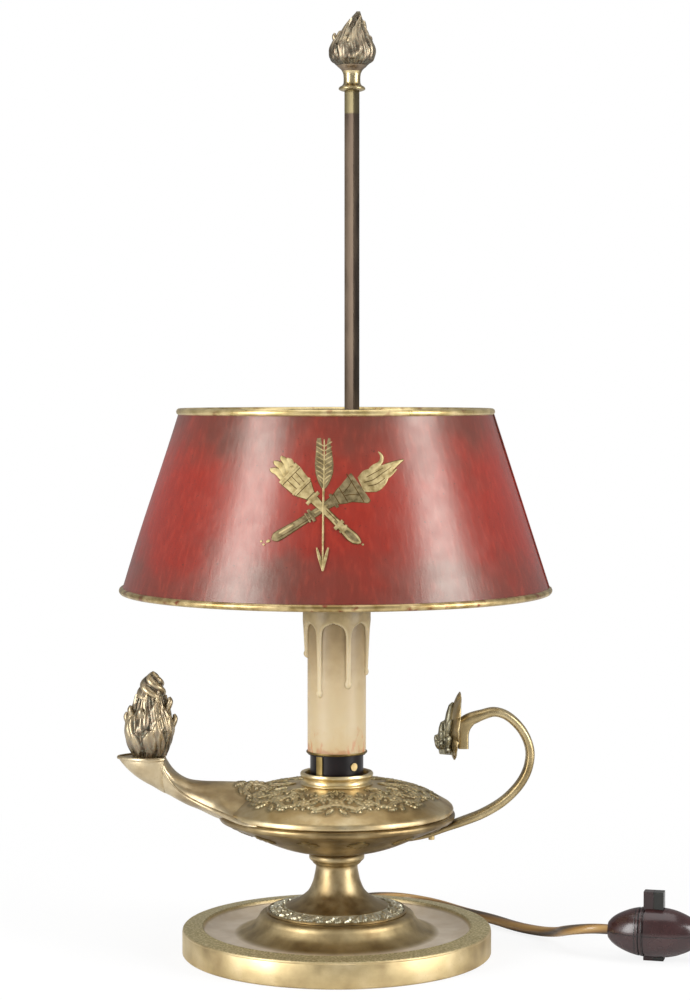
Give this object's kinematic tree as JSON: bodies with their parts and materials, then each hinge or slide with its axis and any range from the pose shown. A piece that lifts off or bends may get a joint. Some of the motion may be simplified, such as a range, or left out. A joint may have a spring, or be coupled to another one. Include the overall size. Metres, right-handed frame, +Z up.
{
  "type": "bouillotte lamp",
  "caption": "Brass table lamp: oil-lamp bowl on a dished foot, candle tube, and a lacquered tin shade that slides and clamps on a square rod topped by a flame finial.",
  "frame": {"origin": "centre of the round foot's underside, on the lamp's upright axis", "axes": "+Z up, -X towards the spout, +X towards the handle, -Y towards the front of the shade; the square rod stands behind the candle at +Y"},
  "size_m": [0.3739, 0.2116, 0.4572],
  "materials": {
    "aged_brass": "satin, aged",
    "gilt_brass": "polished, rubbed",
    "dark_bronze": "patinated with green traces",
    "rod_brass": "dark, aged",
    "hidden_brass": "plain",
    "steel_fastener": "zinc plated",
    "felt": "felt",
    "red_lacquer": "glossy lacquer, worn",
    "shade_rim_gold": "gilt",
    "candle_tube": "ivory, waxy",
    "holder_black": "moulded",
    "bulb_glass": "frosted",
    "filament": "wire",
    "grommet": "matte",
    "wire_insulation": "matte",
    "cord_braid": "woven, dull sheen",
    "switch_shell": "moulded",
    "plug_shell": "moulded",
    "tie_band": "woven"
  },
  "bodies": {
    "lamp": {"base_dish": "aged_brass", "base_cover": "felt", "stem": "aged_brass", "stem_knop": "gilt_brass", "bowl_lower": "aged_brass", "bowl_upper": "aged_brass", "tie_rod": "hidden_brass", "tie_washer": "steel_fastener", "tie_nut": "steel_fastener", "spout": "aged_brass", "spout_flame": "dark_bronze", "flame_peg": "steel_fastener", "handle_strap": "aged_brass", "handle_rivets": "hidden_brass", "rosette_plate": "gilt_brass", "rosette_flower": "aged_brass", "rosette_stud": "hidden_brass", "candle_cup": "gilt_brass", "lampholder_yoke": "gilt_brass", "lock_nut": "steel_fastener", "lampholder_body": "holder_black", "terminal_screws": "hidden_brass", "screw_shell": "hidden_brass", "centre_contact": "hidden_brass", "candle_sleeve": "candle_tube", "shade_rod": "rod_brass", "rod_ferrule": "aged_brass", "rod_nut": "steel_fastener", "cord_grommet": "grommet", "lamp_wires": "wire_insulation", "cord_lead": "cord_braid", "switch_cap": "switch_shell", "switch_body": "switch_shell", "switch_contacts": "hidden_brass", "cord_tail": "cord_braid", "cord_coil": "cord_braid", "coil_tie": "tie_band", "cord_end": "cord_braid", "plug_body": "plug_shell", "plug_pins": "hidden_brass"},
    "shade": {"shade_cone": "red_lacquer", "shade_top_rim": "shade_rim_gold", "shade_bottom_rim": "shade_rim_gold", "shade_bar": "hidden_brass", "bar_rivets": "hidden_brass", "shade_collar": "aged_brass"},
    "thumb": {"thumb_screw": "aged_brass"},
    "finial": {"finial_socket": "dark_bronze", "finial_flame": "dark_bronze"},
    "bulb": {"bulb_glass": "bulb_glass", "bulb_cap": "hidden_brass", "bulb_filament": "filament"},
    "push_bar": {"switch_push_bar": "switch_shell"}
  },
  "joints": [
    {"name": "shade_slide", "type": "slide", "parent": "lamp", "child": "shade", "axis": [0, 0, 1], "range_m": [-0.03, 0.15]},
    {"name": "thumb_screw_turn", "type": "hinge", "parent": "shade", "child": "thumb", "pos_m": [0.0074, 0.022, 0.2475], "axis": [0.5446, 0.8387, 0], "range_deg": [-720, 0]},
    {"name": "finial_turn", "type": "hinge", "parent": "lamp", "child": "finial", "pos_m": [0.0074, 0.022, 0.4187], "axis": [0, 0, 1], "continuous": true},
    {"name": "bulb_turn", "type": "hinge", "parent": "lamp", "child": "bulb", "pos_m": [0, 0, 0.16], "axis": [0, 0, 1], "continuous": true},
    {"name": "switch_push", "type": "slide", "parent": "lamp", "child": "push_bar", "axis": [0, 0, 1], "range_m": [-0.0063, 0]}
  ]
}
